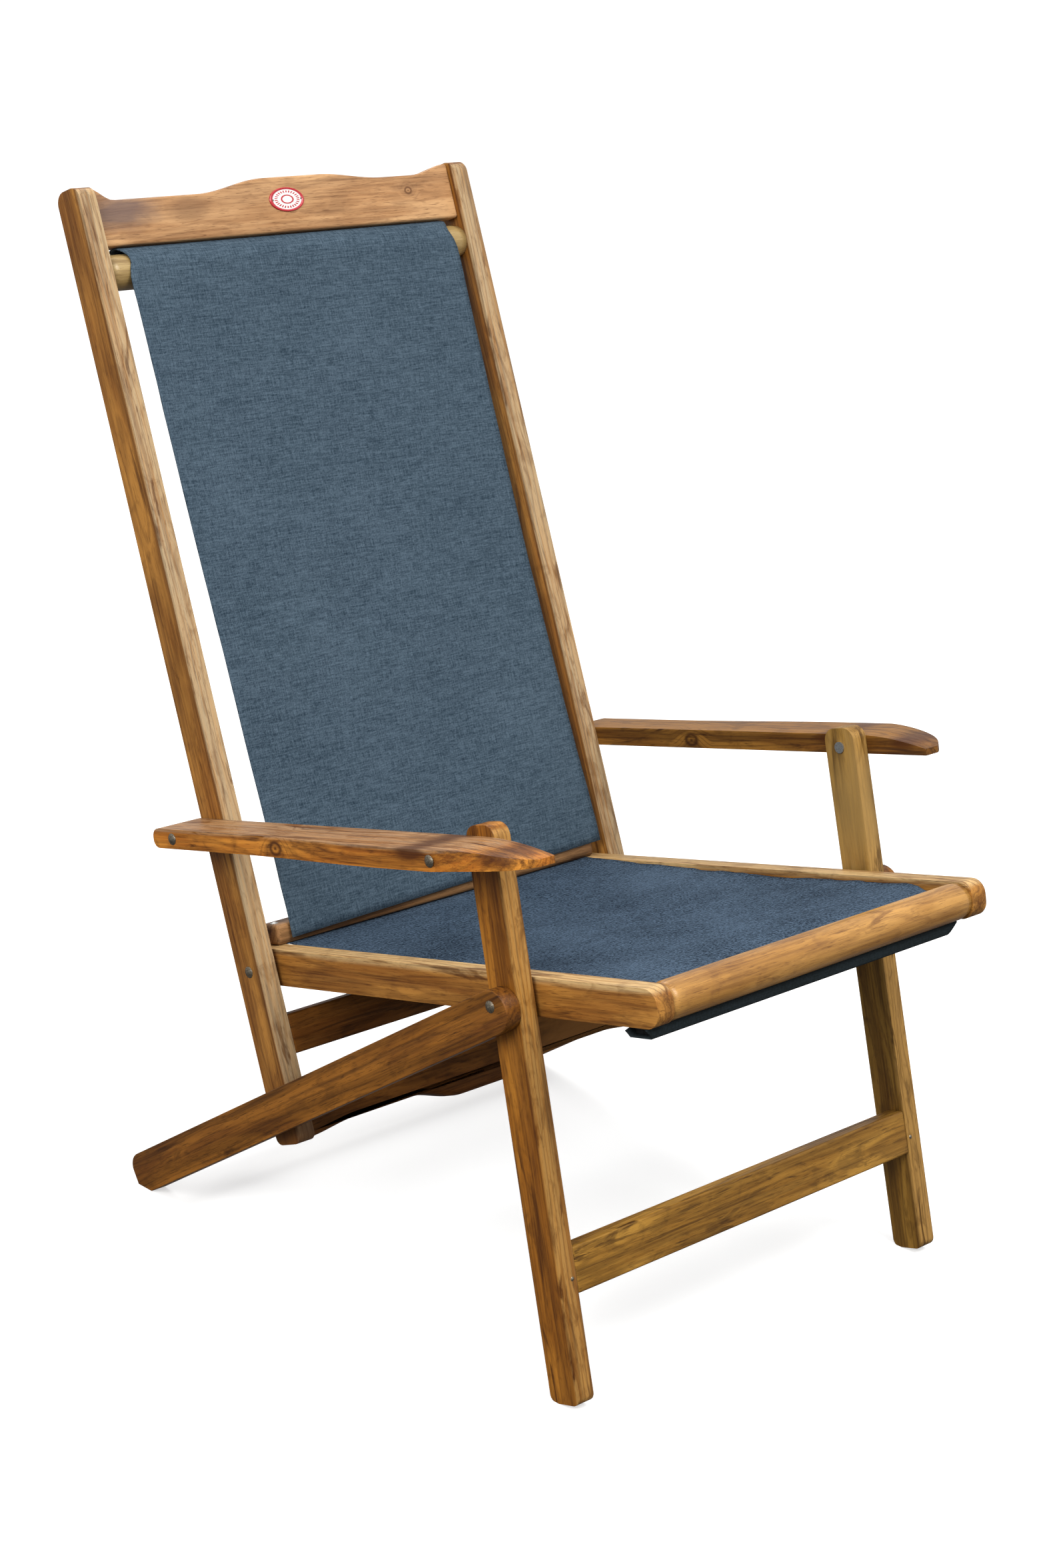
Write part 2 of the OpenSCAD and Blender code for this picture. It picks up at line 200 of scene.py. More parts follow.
def wood(name, along, square, centre, tones, seed, sap_and_sheen=None, stains_and_painted_light=(), knots=(), rings=1.0, figure=1.0,
         gloss=0.40, shine=0.20):
    """Oiled hardwood whose grain runs along a board.

    along and square are unit vectors, centre a point on the board's middle line. tones are (dark, brown,
    golden). A tint given as (start, end, colour, line) runs towards the board's square side, in metres from
    the middle, with a dark line of that strength where it begins: sapwood, and on the left arm a painted
    sheen on the top face. rings and figure scale the dark marks. Marks given as ((along, square), radius,
    colour, strength) are stains, and also patches of painted shade and painted light; a knot is
    ((along, square), radius). gloss is near the roughness, shine the specular level.
    """
    n = Nodes(name)
    third = along.cross(square)
    place = n.place()
    u = n.math("SUBTRACT", n.dot(place, along), centre.dot(along))
    w = n.math("SUBTRACT", n.dot(place, square), centre.dot(square))
    v = n.math("SUBTRACT", n.dot(place, third), centre.dot(third))
    u_seed = n.math("ADD", u, seed * 1.37)

    def grain(along_scale, cross_scale, detail, rough=0.5, distortion=0.0):
        vector = n.combine(n.math("MULTIPLY", u_seed, along_scale), n.math("MULTIPLY", v, cross_scale),
                           n.math("MULTIPLY", w, cross_scale))
        return n.noise(vector, 1.0, detail, rough, distortion)

    # year rings: distance from a pith line outside the board, bent by slow noise
    slow = grain(3.4, 24, 2.0, 0.5, 0.3)
    pith_v = n.math("ADD", v, 0.030 + 0.011 * math.sin(seed * 2.1))
    pith_w = n.math("ADD", w, 0.022 * math.cos(seed * 3.7))
    pith_w = n.math("ADD", pith_w, n.math("MULTIPLY", u, 0.018 * math.sin(seed * 5.3)))
    squared = n.math("ADD", n.math("MULTIPLY", pith_v, pith_v), n.math("MULTIPLY", pith_w, pith_w))
    away = n.math("SQRT", squared)
    away = n.math("ADD", away, n.math("MULTIPLY", slow, 0.036))

    def off_centre(point, stretch):
        """Distance from a spot on the board, longer along the grain by 1 / stretch."""
        node = n.tree.nodes.new("ShaderNodeVectorMath")
        node.operation = "LENGTH"
        n.link(n.combine(n.math("MULTIPLY", n.math("SUBTRACT", u, point[0]), stretch),
                         n.math("SUBTRACT", w, point[1]), 0.0), node.inputs[0])
        return node.outputs["Value"]

    knot_places = [(off_centre(point, 0.75), radius) for point, radius in knots]
    for far, radius in knot_places:
        away = n.math("ADD", away, n.ramp(far, 3.2 * radius, 0.0, 0.0, 0.016))
    ring = n.ramp(n.math("SINE", n.math("MULTIPLY", away, 2 * math.pi / RING_WIDTH)), 0.35, 1.0)
    broad = n.ramp(n.math("SINE", n.math("MULTIPLY", away, 2 * math.pi / BAND_WIDTH)), -0.3, 1.0)

    patch = grain(5.0, 26, 3.0, 0.55, 0.6)
    streak = grain(3.4, 90, 3.0, 0.55, 0.6)
    flame = grain(8.0, 60, 4.0, 0.6, 1.4)
    mottle = grain(30.0, 64, 3.0, 0.6, 1.0)
    fibre = grain(9.0, 420, 5.0, 0.62)
    pores = grain(75.0, 1500, 2.0, 0.5)

    dark, brown, golden = tones
    pale = tuple(min(1.0, 1.3 * c) for c in golden)
    colour = n.mix(n.ramp(patch, 0.41, 0.58), brown, golden)
    colour = n.mix(n.math("MULTIPLY", broad, 0.44 * rings), colour, dark)
    # The tint: sapwood, and on the left arm a painted sheen on the top face.
    if sap_and_sheen:
        start, end, tint, line = sap_and_sheen
        edge = n.math("ADD", w, n.math("MULTIPLY", n.math("SUBTRACT", slow, 0.5), 0.006))
        colour = n.mix(n.math("MULTIPLY", n.ramp(edge, start, end), 0.84), colour, tint)
        off_line = n.math("ABSOLUTE", n.math("SUBTRACT", edge, start))
        band = n.math("SUBTRACT", 1.0, n.math("MULTIPLY", off_line, SAP_FADE), clamp=True)
        colour = n.mix(n.math("MULTIPLY", band, line), colour, dark)
    colour = n.mix(n.math("MULTIPLY", ring, 0.34 * rings), colour, dark)
    colour = n.mix(n.ramp(streak, 0.53, 0.66, 0.0, 0.46 * figure), colour, dark)
    colour = n.mix(n.ramp(flame, 0.55, 0.68, 0.0, 0.80 * figure), colour, dark)
    colour = n.mix(n.ramp(mottle, 0.50, 0.68, 0.0, 0.36 * figure), colour, dark)
    colour = n.mix(n.ramp(fibre, 0.35, 0.68, 0.0, 0.30), colour, pale)
    colour = n.mix(n.ramp(pores, 0.58, 0.70, 0.0, 0.60), colour, dark)
    # Stains, and patches of painted shade and painted light.
    for point, radius, tint, strength in stains_and_painted_light:
        cloud = n.math("ADD", off_centre(point, 0.45),
                       n.math("MULTIPLY", n.math("SUBTRACT", flame, 0.5), radius * 1.2))
        colour = n.mix(n.ramp(cloud, radius, radius * 0.25, 0.0, strength), colour, tint)
    for far, radius in knot_places:
        far = n.math("ADD", far, n.math("MULTIPLY", n.math("SUBTRACT", mottle, 0.5), radius * 0.5))
        off_rim = n.math("ABSOLUTE", n.math("SUBTRACT", far, radius * 0.75))
        rim = n.ramp(off_rim, radius * 0.45, 0.0, 0.0, 0.85)
        colour = n.mix(rim, colour, dark)
        colour = n.mix(n.ramp(far, radius * 0.35, 0.0, 0.0, 0.9), colour, dark)
    n.link(colour, n.shader.inputs["Base Color"])
    n.link(n.ramp(fibre, 0.3, 0.7, gloss + 0.12, gloss - 0.04), n.shader.inputs["Roughness"])
    n.shader.inputs["Specular IOR Level"].default_value = shine
    relief = n.math("ADD", n.math("MULTIPLY", fibre, 0.6), n.math("MULTIPLY", pores, -0.5))
    relief = n.math("ADD", relief, n.math("MULTIPLY", ring, -0.25))
    n.bump(relief, 0.40, 0.0005)
    return n.material


THREAD_PITCH = 0.00110


def cloth(name, warp_tone, weft_tone, slub, speckle, twill, painted_shade_from=None):
    """Heathered canvas. UV is in metres, u across the sling and v along it. Past the given v it is painted
    near-black, as painted shade.
    """
    n = Nodes(name)
    uv = n.uv()
    u = n.dot(uv, (1, 0, 0))
    v = n.dot(uv, (0, 1, 0))

    def threads(across, along, offset, detail=3.0, rough=0.6):
        place = n.combine(n.math("MULTIPLY", u, across), n.math("MULTIPLY", v, along), offset)
        return n.noise(place, 1.0, detail, rough)

    turn = 2 * math.pi / THREAD_PITCH
    warp = n.math("SINE", n.math("MULTIPLY", u, turn))
    weft = n.math("SINE", n.math("MULTIPLY", v, turn * (0.5 if twill else 1.0)))
    weave = n.math("ADD", n.math("MULTIPLY", warp, 0.34 if twill else 0.25), n.math("MULTIPLY", weft, 0.16))
    warp_thread = threads(760, 70, 0.0)
    weft_thread = threads(70, 820, 0.3)
    slubs = threads(12, 300, 2.0)
    fuzz = threads(420, 420, 4.0, 3.0, 0.7)
    fade = threads(9, 9, 7.0)
    light = n.math("ADD", n.math("MULTIPLY", warp_thread, 0.62 if twill else 0.50),
                   n.math("MULTIPLY", weft_thread, 0.38 if twill else 0.50))
    light = n.math("ADD", light, n.math("MULTIPLY", n.math("SUBTRACT", fuzz, 0.5), speckle))
    light = n.math("ADD", light, n.math("MULTIPLY", weave, 0.30))
    light = n.math("ADD", light, n.math("MULTIPLY", n.math("SUBTRACT", slubs, 0.5), slub))
    light = n.math("ADD", light, n.math("MULTIPLY", n.math("SUBTRACT", fade, 0.5), 0.36 if twill else 0.14))
    colour = n.mix(n.ramp(light, 0.30, 0.70) if twill else n.ramp(light, 0.22, 0.78), warp_tone, weft_tone)
    # Painted shade: the wrap round the batten, under the front bar, is painted near-black.
    if painted_shade_from:
        colour = n.mix(n.ramp(v, painted_shade_from - 0.010, painted_shade_from, 0.0, 0.90), colour, (0.016, 0.021, 0.021))
    n.link(colour, n.shader.inputs["Base Color"])
    n.shader.inputs["Roughness"].default_value = 0.90
    n.shader.inputs["Specular IOR Level"].default_value = 0.10
    n.bump(n.math("ADD", n.math("MULTIPLY", weave, 0.7), n.math("MULTIPLY", light, 0.7)), 0.5, 0.0005)
    return n.material


def metal(name, tone, rough, worn):
    """Dull metal with spots of tarnish."""
    n = Nodes(name)
    place = n.place()
    spots = n.noise(place, 900, 4.0, 0.65)
    fine = n.noise(place, 3800, 2.0, 0.5)
    colour = n.mix(n.ramp(spots, 0.42, 0.66), tone, worn)
    n.link(colour, n.shader.inputs["Base Color"])
    n.shader.inputs["Metallic"].default_value = 0.92
    n.link(n.ramp(spots, 0.35, 0.7, rough - 0.08, rough + 0.16), n.shader.inputs["Roughness"])
    n.bump(n.math("ADD", spots, n.math("MULTIPLY", fine, 0.4)), 0.3, 0.0003)
    return n.material


# ---------------------------------------------------------------- boards

WELD = 1.5e-4                    # corners nearer than this become one
FLAT = math.radians(0.6)         # edges that bend less than this are dissolved
SHARP = math.radians(28)         # edges that bend more than this are rounded


def soften(node, width, material, segments=4, round_edge=None, round_width=0.008):
    """A board that stands for a CAD node: its outline, with rounded arrises."""
    source = frame["nodes"][node]
    mesh = source.data.copy()
    mesh.materials.clear()
    bm = bmesh.new()
    bm.from_mesh(mesh)
    bmesh.ops.remove_doubles(bm, verts=bm.verts, dist=WELD)
    bmesh.ops.dissolve_limit(bm, angle_limit=FLAT, verts=bm.verts, edges=bm.edges)
    weight = bm.edges.layers.float.new("bevel_weight_edge")
    widest = round_width if round_edge else width
    for edge in bm.edges:
        sharp = len(edge.link_faces) == 2 and edge.calc_face_angle(0.0) > SHARP
        if not sharp:
            continue
        edge[weight] = width / widest
        if round_edge and round_edge((edge.verts[0].co + edge.verts[1].co) / 2,
                                     (edge.verts[1].co - edge.verts[0].co)):
            edge[weight] = 1.0
    bm.to_mesh(mesh)
    bm.free()
    piece = bpy.data.objects.new(node + "_board", mesh)
    bpy.context.scene.collection.objects.link(piece)
    bevel = piece.modifiers.new("arris", "BEVEL")
    bevel.limit_method = "WEIGHT"
    bevel.width = widest
    bevel.segments = segments
    bevel.use_clamp_overlap = True
    bevel.harden_normals = True
    mesh.materials.append(material)
    for polygon in mesh.polygons:
        polygon.use_smooth = True
    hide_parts(node)
    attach(piece, source["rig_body"])


FRAME_X = 0.239            # middle of a stile's or a leg's thickness
RAIL_X = 0.2138
STRUT_X = 0.2575
ARM_X = 0.28
NOSE_AT = 0.150            # where a rail's rounded nose begins, in front of P2
CREST_AT = 0.717           # crest, cross and bottom rail: up the stiles from P1
CROSS_AT = -0.065
BOTTOM_AT = -0.145
REAR_BAR = (0.349, 0.028)  # back along the seat rails from P2, and up from their middle
FRONT_DROP = 0.242         # front stretcher: down the legs from P2
REAR_DROP = 0.53           # rear stretcher: down the struts from P2

for i, side in enumerate(("left", "right")):
    sign = -1 if side == "left" else 1
    # Each stile is painted darker towards its low end, below the seat, as painted shade.
    stile = wood("stile_" + side, BACK_UP, BACK_FRONT, at_p1(sign * FRAME_X), TEAK, 1.3 + 2.2 * i,
                 sap_and_sheen=(0.0125, 0.0155, GREY_SAP, 0.9), stains_and_painted_light=[((-0.165, 0.0), 0.045, PAINTED_SHADE_TONE[1], 0.8)])
    soften("back_stile_" + side, 0.0026, stile)
    # The right leg has a paler patch high up: partly its own paler wood, partly painted light where its
    # upper part is lit.
    leg = wood("leg_" + side, LEG_UP, LEG_FRONT, at_p2(sign * FRAME_X),
               LEG_TONE if side == "left" else FAR_LEG_TONE, 4.1 + 1.7 * i,
               sap_and_sheen=(0.0130, 0.0165, GOLD_SAP, 0.35),
               stains_and_painted_light=[] if side == "left" else [((0.075, 0.0), 0.050, (0.36, 0.220, 0.070), 0.70)],
               rings=1.2, figure=1.4)
    soften("front_leg_" + side, 0.0026, leg)
    rail = wood("rail_" + side, SEAT_BACK, SEAT_UP, at_p2(sign * RAIL_X), TEAK, 6.6 + 2.9 * i,
                sap_and_sheen=(0.0105, 0.0165, CREAM_SAP, 0.0), rings=1.25)
    nose_line = on_seat(0, -NOSE_AT, 0).dot(SEAT_BACK)

    def at_nose(point, edge, limit=nose_line, s=sign):
        """The outer upright edges in front of the nose line."""
        upright = abs(edge.normalized().dot(ACROSS)) < 0.2
        return point.dot(SEAT_BACK) < limit and upright and s * point.x > RAIL_X

    soften("seat_rail_" + side, 0.0045, rail, segments=6,
           round_edge=at_nose, round_width=0.0125)
    strut = wood("strut_" + side, STRUT_BACK, STRUT_UP, at_p2(sign * STRUT_X), STRUT_TONE,
                 9.2 + 3.1 * i, sap_and_sheen=(0.012, 0.019, STRUT_TONE[2], 0.0))
    soften("strut_" + side, 0.0028, strut)
    # On the left arm the pale grey tint towards its top face is painted sheen: the light from above, caught
    # at a low angle.
    arm = wood("arm_" + side, ARM_BACK, ARM_UP, Vector((sign * ARM_X, P4.y, P4.z)),
               ARM_TONE if side == "left" else FAR_ARM_TONE, 12.4 + 2.3 * i,
               sap_and_sheen=(0.0055, 0.0085, (0.27, 0.185, 0.115) if side == "left" else FAR_ARM_TONE[2], 0.5),
               stains_and_painted_light=[((-0.335, 0.006), 0.012, ARM_TONE[0], 0.8),
                       ((-0.420, 0.002), 0.010, ARM_TONE[0], 0.7)],
               knots=[((-0.150, -0.001), 0.0070)], rings=1.3, figure=1.3)
    soften("armrest_" + side, 0.0032, arm, segments=5)

crest = wood("crest", ACROSS, BACK_UP, on_back(0, CREST_AT, 0), CREST_TONE, 15.1, rings=0.7, figure=0.65,
             stains_and_painted_light=[((-0.200, 0.002), 0.026, (0.120, 0.080, 0.072), 0.80),
                     ((-0.120, 0.000), 0.016, (0.170, 0.085, 0.040), 0.6)],
             knots=[((0.168, 0.002), 0.0040)])
soften("crest_rail", 0.0032, crest)
# The cross and bottom rails under the seat take the darker wood as painted shade; the bottom rail also has a
# paler orange patch at its right end.
cross = wood("cross", ACROSS, BACK_UP, on_back(0, CROSS_AT, 0), PAINTED_SHADE_TONE, 17.3, shine=0.08)
soften("back_cross_rail", 0.0022, cross)
bottom = wood("bottom", ACROSS, BACK_UP, on_back(0, BOTTOM_AT, 0), PAINTED_SHADE_TONE, 19.9,
              stains_and_painted_light=[((0.150, 0.0), 0.055, (0.30, 0.130, 0.030), 0.75)], shine=0.08)
soften("back_bottom_rail", 0.006, bottom, segments=5)
rear_bar = wood("rear_bar", ACROSS, SEAT_UP, on_seat(0, *REAR_BAR), DULL_TONE, 21.0)
soften("seat_rear_bar", 0.0045, rear_bar)
stretcher = wood("stretcher", ACROSS, LEG_UP, at_p2(0) - LEG_UP * FRONT_DROP, OLIVE_TONE, 23.5,
                 rings=1.2, figure=1.6)
soften("front_stretcher", 0.0025, stretcher)
rear_stretcher = wood("rear_stretcher", ACROSS, STRUT_UP, at_p2(0) + STRUT_BACK * REAR_DROP,
                      STRUT_TONE, 25.8)
soften("rear_stretcher", 0.0025, rear_stretcher)


# ---------------------------------------------------------------- round bars

END_DROP = 0.0012          # how much smaller a bar's radius is at its ends


def turned_bar(node, centre, radius, half, tone, seed, body, swell, square):
    """A bar across the chair: a round stick, a little uneven along its length as sanded wood is."""
    rings, around = 48, 48
    bm = bmesh.new()
    loops = []
    for i in range(rings + 1):
        x = -half + 2 * half * i / rings
        drop = END_DROP if i in (0, rings) else 0.0
        r = (radius - drop) * (1 + swell * noise.noise(Vector((x * 7, seed, 0))))
        loop = []
        for k in range(around):
            a = 2 * math.pi * k / around
            loop.append(bm.verts.new(centre + Vector((x, r * math.cos(a), r * math.sin(a)))))
        loops.append(loop)
    for i in range(rings):
        for k in range(around):
            here, there, after = loops[i], loops[i + 1], (k + 1) % around
            bm.faces.new((here[k], there[k], there[after], here[after]))
    bm.faces.new(loops[0])
    bm.faces.new(list(reversed(loops[-1])))
    bmesh.ops.recalc_face_normals(bm, faces=bm.faces)
    mesh = bpy.data.meshes.new(node + "_turned")
    bm.to_mesh(mesh)
    bm.free()
    for polygon in mesh.polygons:
        polygon.use_smooth = len(polygon.vertices) == 4
    mesh.materials.append(wood(node, ACROSS, square, centre, tone, seed, rings=0.8, gloss=0.26, shine=0.45))
    piece = bpy.data.objects.new(node + "_turned", mesh)
    bpy.context.scene.collection.objects.link(piece)
    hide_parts(node)
    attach(piece, body)


DOWEL = (0.6645, -0.0015)  # up the stiles from P1, and forward of their middle
BAR_AT = -0.139            # front bar: back along the seat rails from P2, so it lies in front
turned_bar("top_dowel", on_back(0, *DOWEL), 0.0169, 0.2294, PALE_TONE, 27.2,
           "back", 0.004, BACK_UP)
turned_bar("seat_front_bar", on_seat(0, BAR_AT, 0), 0.0174, 0.2034, BAR_TONE, 29.6,
           "seat", 0.010, SEAT_UP)


# ---------------------------------------------------------------- slings

def arc_points(centre, radius, start, end, count):
    """Points on a circle in (along, height) space, angles in degrees."""
    return [(centre[0] + radius * math.cos(math.radians(start + (end - start) * i / count)),
             centre[1] + radius * math.sin(math.radians(start + (end - start) * i / count)))
            for i in range(count + 1)]


def smooth_line(points, spacing):
    """The same polyline with points about spacing apart."""
    out = [points[0]]
    for a, b in zip(points, points[1:]):
        steps = max(1, round(math.dist(a, b) / spacing))
        out += [(a[0] + (b[0] - a[0]) * k / steps, a[1] + (b[1] - a[1]) * k / steps)
                for k in range(1, steps + 1)]
    return out


def line_length(points):
    """Length of a polyline."""
    return sum(math.dist(a, b) for a, b in zip(points, points[1:]))


def sling(name, line, place, edges, columns, thick, material, ripple):
    """A woven strip that follows line, a list of (along, height), from one edge of the chair to the other.

    place(x, along, height) gives the row-frame point, edges(t) its (left, right) X at share t of the
    length, and ripple(x, t, share) a small height added to it, share being 0 at the left edge.
    """
    lengths = [0.0]
    for a, b in zip(line, line[1:]):
        lengths.append(lengths[-1] + math.dist(a, b))
    total = lengths[-1]
    bm = bmesh.new()
    uv = bm.loops.layers.uv.new("UVMap")
    where = {}
    rows = []
    for j, (along, height) in enumerate(line):
        t = lengths[j] / total
        before, after = line[max(0, j - 1)], line[min(len(line) - 1, j + 1)]
        da, dh = after[0] - before[0], after[1] - before[1]
        size = math.hypot(da, dh) or 1.0
        left, right = edges(t)
        row = []
        for i in range(columns + 1):
            share = i / columns
            x = left + (right - left) * share
            lift = ripple(x, t, share)
            vert = bm.verts.new(place(x, along - dh / size * lift, height + da / size * lift))
            where[vert] = (x, lengths[j])
            row.append(vert)
        rows.append(row)
    for a, b in zip(rows, rows[1:]):
        for i in range(columns):
            bm.faces.new((a[i], a[i + 1], b[i + 1], b[i]))
    for face in bm.faces:
        for loop in face.loops:
            loop[uv].uv = where[loop.vert]
    bmesh.ops.recalc_face_normals(bm, faces=bm.faces)
    mesh = bpy.data.meshes.new(name)
    bm.to_mesh(mesh)
    bm.free()
    for polygon in mesh.polygons:
        polygon.use_smooth = True
    mesh.materials.append(material)
    piece = bpy.data.objects.new(name, mesh)
    bpy.context.scene.collection.objects.link(piece)
    body = piece.modifiers.new("cloth", "SOLIDIFY")
    body.thickness = thick
    body.offset = 0
    return piece, total


CLOTH_T = 0.0011

# Back sling: up from the seat's rear bar, over the dowel and down again to its own seam.
LOOP_R = 0.0178
LOOP_TOP = 0.0220
HEM_UP, HEM_FRONT = 0.021, 0.0148
SAG = 0.004
dowel_up = DOWEL[0]
front_skin = DOWEL[1] + LOOP_R
back_line = [(HEM_UP, HEM_FRONT)]
for k in range(1, 24):
    s = k / 24
    back_line.append((HEM_UP + (dowel_up - HEM_UP) * s,
                      HEM_FRONT + (front_skin - HEM_FRONT) * s - SAG * math.sin(math.pi * s)))
loop = arc_points((0, 0), 1.0, 90, -150, 20)
back_line += [(dowel_up + (LOOP_TOP if a > 0 else LOOP_R) * a, DOWEL[1] + LOOP_R * h) for a, h in loop]
back_line += [(dowel_up - 0.024, -0.0035), (dowel_up - 0.031, 0.0075),
              (dowel_up - 0.038, front_skin - 0.0034), (dowel_up - 0.052, front_skin - 0.0036)]
back_line = smooth_line(back_line, 0.009)
FRONT_SHARE = (dowel_up + 0.010 - HEM_UP) / line_length(back_line)
back_cloth = cloth("back_canvas", (0.012, 0.025, 0.040), (0.088, 0.128, 0.168), 0.16, 0.50, False)
BACK_HALF = 0.211


def back_edges(t):
    """The hem is off the middle. The waist and the fold are narrower, the loop's end more so."""
    share = min(1.0, t / FRONT_SHARE)
    centre = 0.011 * (1 - share)
    waist = 0.0025 * math.sin(math.pi * share)
    corner = 0.006 * math.exp(-((t - FRONT_SHARE) / 0.014) ** 2)
    tuck = 0.022 * max(0.0, min(1.0, (t - FRONT_SHARE - 0.035) / 0.03))
    half = BACK_HALF - waist - corner - tuck
    return centre - half, centre + half


def back_ripple(x, t, share):
    """Slow waves, and edges that curl forward, up to the dowel."""
    if t > 0.85:
        return 0.0
    calm = min(1.0, (0.85 - t) / 0.06) * min(1.0, t / 0.03)
    edge = min(share, 1 - share)
    curl = 0.0012 * math.exp(-edge / 0.02)
    waves = 0.0010 * noise.noise(Vector((x * 9, t * 6, 1.7)))
    waves += 0.0005 * noise.noise(Vector((x * 30, t * 22, 4.2)))
    return calm * (waves + curl)


def back_place(x, along, height):
    """The hem hangs a little askew, higher on the right."""
    askew = 0.009 * (x + BACK_HALF) / (2 * BACK_HALF) * max(0.0, 1 - (along - HEM_UP) / 0.12)
    return on_back(x, along + askew, height)


back_sling, back_length = sling("back_sling_cloth", back_line, back_place, back_edges, 64,
                                CLOTH_T, back_cloth, back_ripple)
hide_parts("back_sling")
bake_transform(back_sling)

# Seat sling: from under the rear bar forward, down behind the front bar and round the batten.
BATTEN_FRONT, BATTEN_BACK = -0.1388, -0.1112
WRAP_TOP, WRAP_LOW = -0.0180, -0.0283
seat_line = [(0.352, 0.0166), (0.336, 0.0163)]
for k in range(1, 16):
    s = k / 16
    along = 0.336 - (0.336 + 0.108) * s
    seat_line.append((along, 0.0163 - 0.0050 * math.sin(math.pi * s) - 0.004 * s * s))
BAR_GAP = 0.0183
seat_line += [(BAR_AT + BAR_GAP * math.cos(math.radians(a)), BAR_GAP * math.sin(math.radians(a)))
              for a in (36, 26, 14, 2, -10)]
seat_line = smooth_line(seat_line + [(BATTEN_BACK, WRAP_TOP - 0.0004)], 0.008)
top_length = line_length(seat_line)
wrap = [(BATTEN_BACK, WRAP_TOP - 0.0004), (BATTEN_BACK, WRAP_LOW + 0.0020),
        (BATTEN_BACK - 0.0018, WRAP_LOW), (BATTEN_FRONT + 0.0018, WRAP_LOW),
        (BATTEN_FRONT, WRAP_LOW + 0.0018), (BATTEN_FRONT, WRAP_TOP - 0.0016),
        (BATTEN_FRONT + 0.0016, WRAP_TOP), (BATTEN_FRONT + 0.0120, WRAP_TOP)]
wrap = smooth_line(wrap, 0.004)
TOP_SHARE = top_length / (top_length + line_length(wrap))
seat_line += wrap[1:]
# Past the top length the wrap is painted near-black as painted shade.
seat_cloth = cloth("seat_canvas", (0.006, 0.013, 0.024), (0.074, 0.113, 0.166), 0.08, 1.35, True,
                   painted_shade_from=top_length)
SEAT_HALF = 0.2022
WRAP_HALF = 0.2110
WRAP_X = -0.0115


def seat_edges(t):
    """Drawn in where the sling turns down, then the wrap, a little shorter in its middle."""
    if t <= TOP_SHARE + 1e-6:
        half = SEAT_HALF - 0.016 * math.exp(-((t / TOP_SHARE - 0.925) / 0.034) ** 2)
        return -half, half
    s = (t - TOP_SHARE) / (1 - TOP_SHARE)
    cut = min(1.0, s / 0.14) * min(1.0, max(0.0, (0.78 - s) / 0.14))
    return WRAP_X - WRAP_HALF + 0.007 * cut, WRAP_X + WRAP_HALF - 0.013 * cut


def seat_ripple(x, t, share):
    """Slow waves, and edges that dip, up to where the sling turns down."""
    if t > 0.84:
        return 0.0
    calm = min(1.0, (0.84 - t) / 0.05) * min(1.0, t / 0.04)
    edge = min(share, 1 - share)
    tuck = -0.0022 * math.exp(-edge / 0.010) * (0.6 + 0.8 * noise.noise(Vector((t * 34, 3.3, 0))))
    waves = 0.0016 * noise.noise(Vector((x * 8, t * 7, 8.1)))
    waves += 0.0006 * noise.noise(Vector((x * 26, t * 24, 2.6)))
    return calm * (waves + tuck)


seat_sling, seat_length = sling("seat_sling_cloth", seat_line, on_seat, seat_edges, 64,
                                CLOTH_T, seat_cloth, seat_ripple)
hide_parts("seat_sling")
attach(seat_sling, "seat")


# ---------------------------------------------------------------- badge, metal and the small CAD nodes

BADGE = on_back(0.005, 0.719, 0.0095)
BADGE_HALF_W = 0.022
BADGE_HALF_H = 0.012


def badge_face():
    """White enamel with a red rim, on the crest rail's front."""
    n = Nodes("badge_enamel")
    place = n.place()
    u = n.math("DIVIDE", n.math("SUBTRACT", n.dot(place, ACROSS), BADGE.dot(ACROSS)), BADGE_HALF_W)
    w = n.math("DIVIDE", n.math("SUBTRACT", n.dot(place, BACK_UP), BADGE.dot(BACK_UP)), BADGE_HALF_H)
    away = n.math("SQRT", n.math("ADD", n.math("MULTIPLY", u, u), n.math("MULTIPLY", w, w)))
    rim = n.ramp(away, 0.80, 0.86)
    turn = n.math("ARCTAN2", w, u)
    dashes = n.ramp(n.math("SINE", n.math("MULTIPLY", turn, 26)), -0.2, 0.2)

    def ring(radius, half):
        return n.ramp(n.math("ABSOLUTE", n.math("SUBTRACT", away, radius)), half + 0.02, half - 0.02)

    beads = n.math("MULTIPLY", ring(0.64, 0.09), dashes)
    mark = n.math("MAXIMUM", rim, n.math("MAXIMUM", beads, ring(0.33, 0.05)))
    wear = n.noise(place, 700, 3.0, 0.6)
    white = n.mix(n.ramp(wear, 0.4, 0.75), (0.82, 0.80, 0.78), (0.62, 0.58, 0.55))
    n.link(n.mix(mark, white, (0.42, 0.012, 0.022)), n.shader.inputs["Base Color"])
    n.link(n.ramp(wear, 0.3, 0.8, 0.18, 0.42), n.shader.inputs["Roughness"])
    n.shader.inputs["Coat Weight"].default_value = 0.4
    n.bump(n.math("ADD", mark, n.math("MULTIPLY", wear, 0.2)), 0.5, 0.0004)
    return n.material


